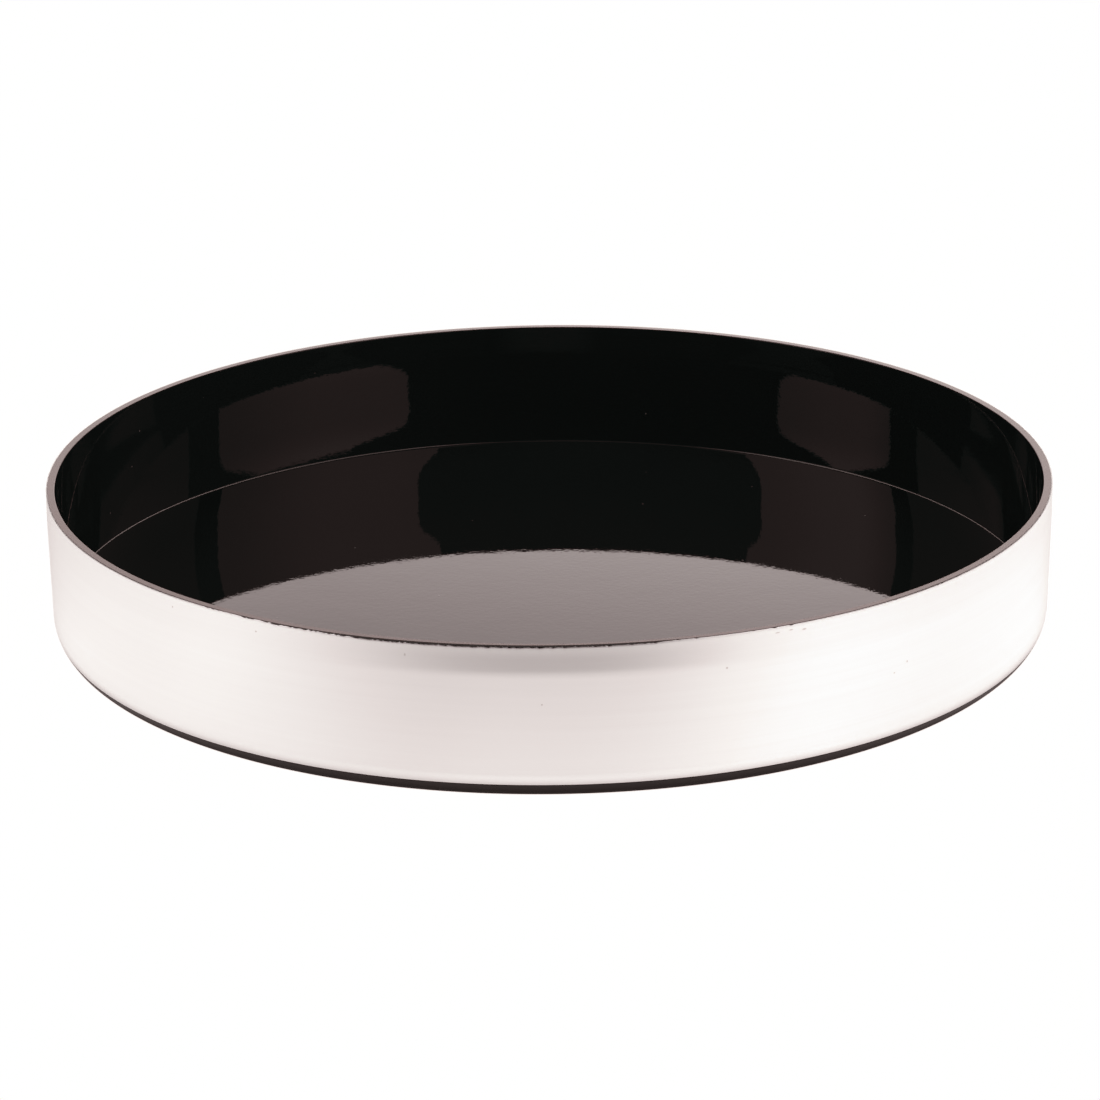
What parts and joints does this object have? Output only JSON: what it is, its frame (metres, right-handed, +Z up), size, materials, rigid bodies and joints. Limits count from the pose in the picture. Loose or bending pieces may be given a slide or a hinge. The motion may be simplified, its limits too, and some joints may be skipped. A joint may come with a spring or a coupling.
{
  "type": "serving tray",
  "caption": "Round serving tray with a gloss black inside, a brushed silver outer skin and a double bottom on non-slip pads.",
  "frame": {"origin": "centre of the footprint, on the surface that the foot pads stand on", "axes": "+Z up along the tray's axis, towards its open top; -Y is the front"},
  "size_m": [0.35, 0.35, 0.055],
  "materials": {
    "gloss_black": "high gloss, mirror-like",
    "brushed_skin": "fine brushed, lines running round the tray",
    "satin_black": "satin moulded",
    "adhesive": "cured adhesive",
    "foot_rubber": "matt, non-slip"
  },
  "bodies": {
    "root": {"inner_tray": "gloss_black", "metal_sleeve": "brushed_skin", "base_pan": "satin_black", "bond_ring": "adhesive", "foot_pad_back_right": "foot_rubber", "foot_pad_back_left": "foot_rubber", "foot_pad_front_left": "foot_rubber", "foot_pad_front_right": "foot_rubber"}
  },
  "joints": []
}
